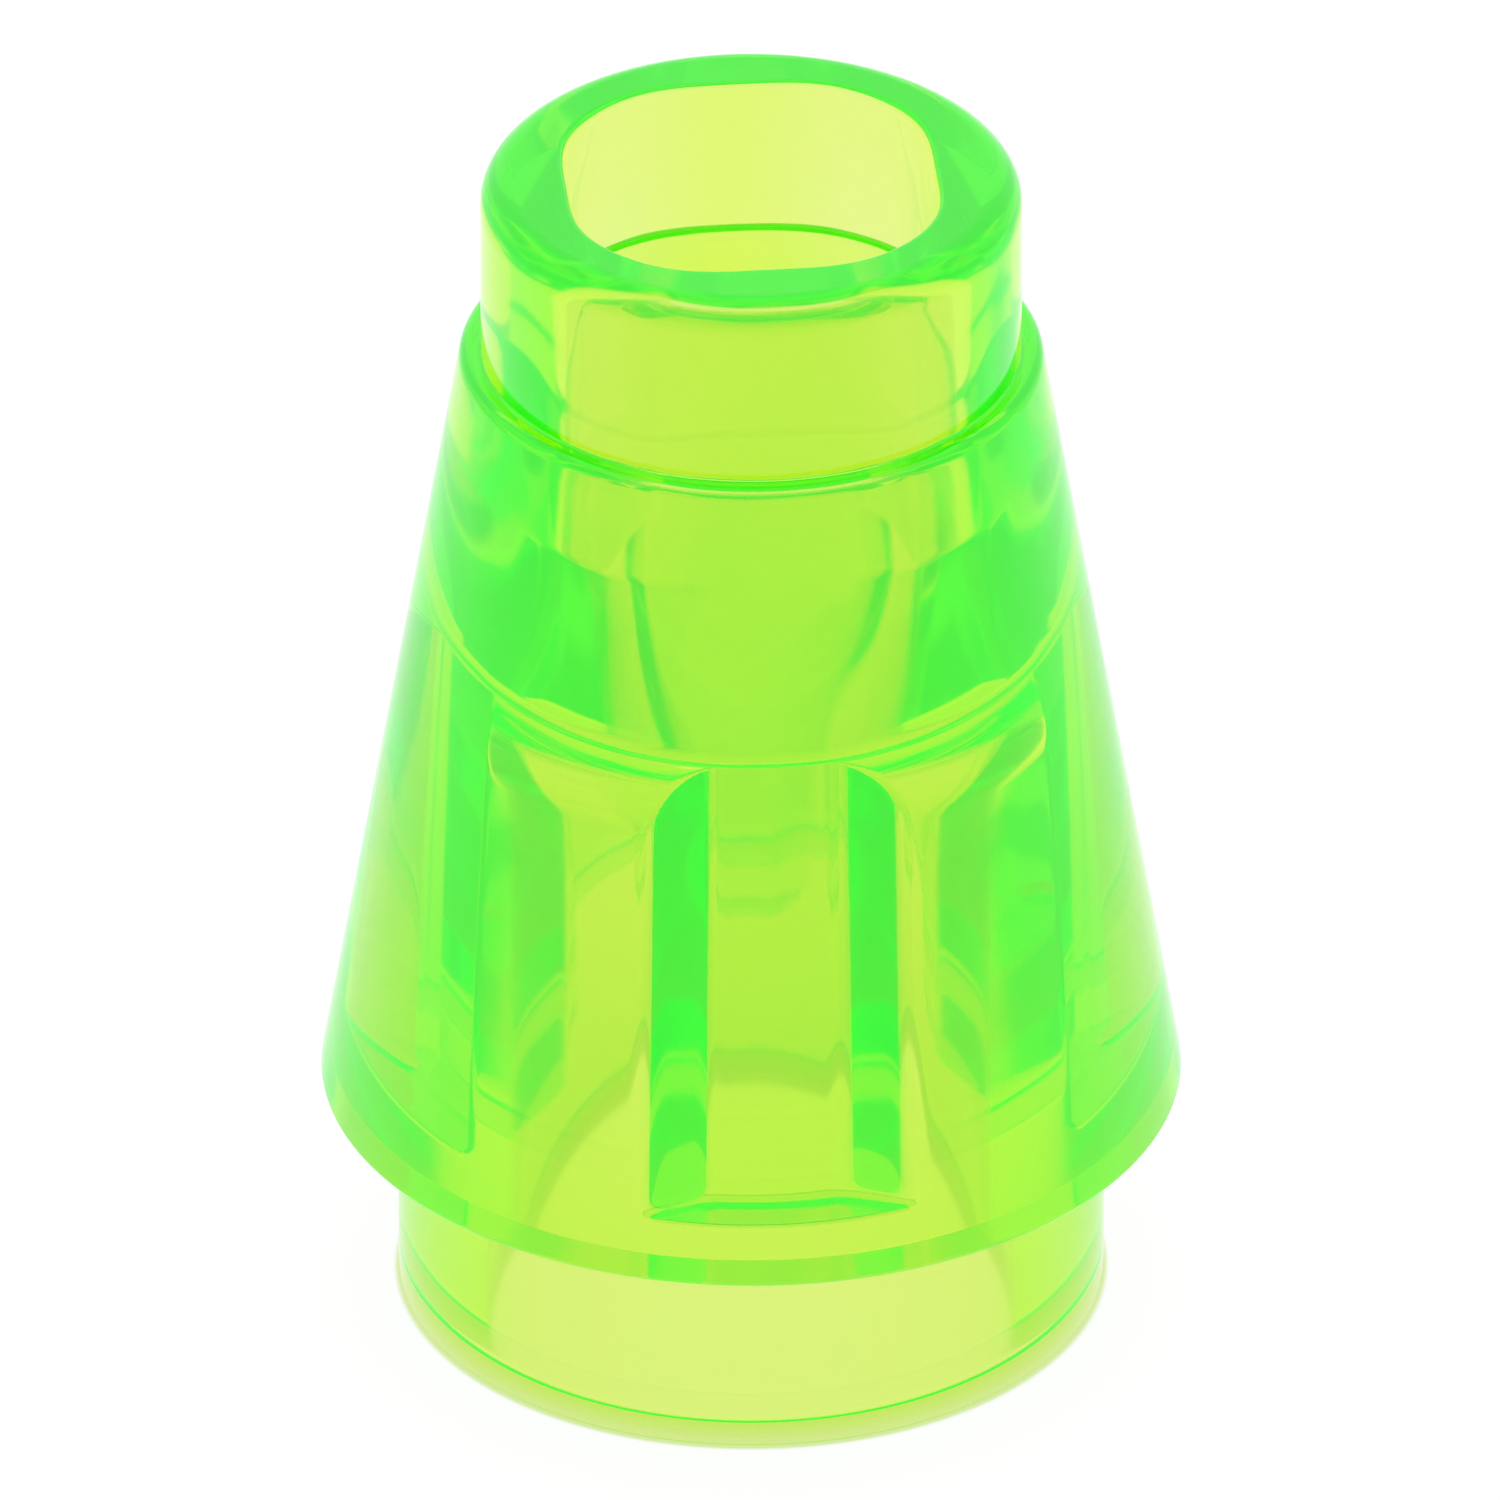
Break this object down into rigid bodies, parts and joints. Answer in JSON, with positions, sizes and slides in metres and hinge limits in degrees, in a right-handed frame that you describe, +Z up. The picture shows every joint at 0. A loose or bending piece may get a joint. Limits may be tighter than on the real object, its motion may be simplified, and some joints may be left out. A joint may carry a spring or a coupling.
{
  "type": "toy building brick cone",
  "caption": "Clear green moulded toy-brick cone with a hollow stud on top, a wide skirt, and a round socket with inner ribs underneath.",
  "frame": {"origin": "on the cone's axis, in the plane of the base ring's underside", "axes": "+Z up along the cone's axis, from the base ring to the stud; X and Y pass through the middles of the inner ribs"},
  "size_m": [0.0078, 0.0078, 0.0114],
  "materials": {
    "clear_green_plastic": "polished, see-through, tinted right through"
  },
  "bodies": {
    "root": {"cone_body": "clear_green_plastic"}
  },
  "joints": []
}
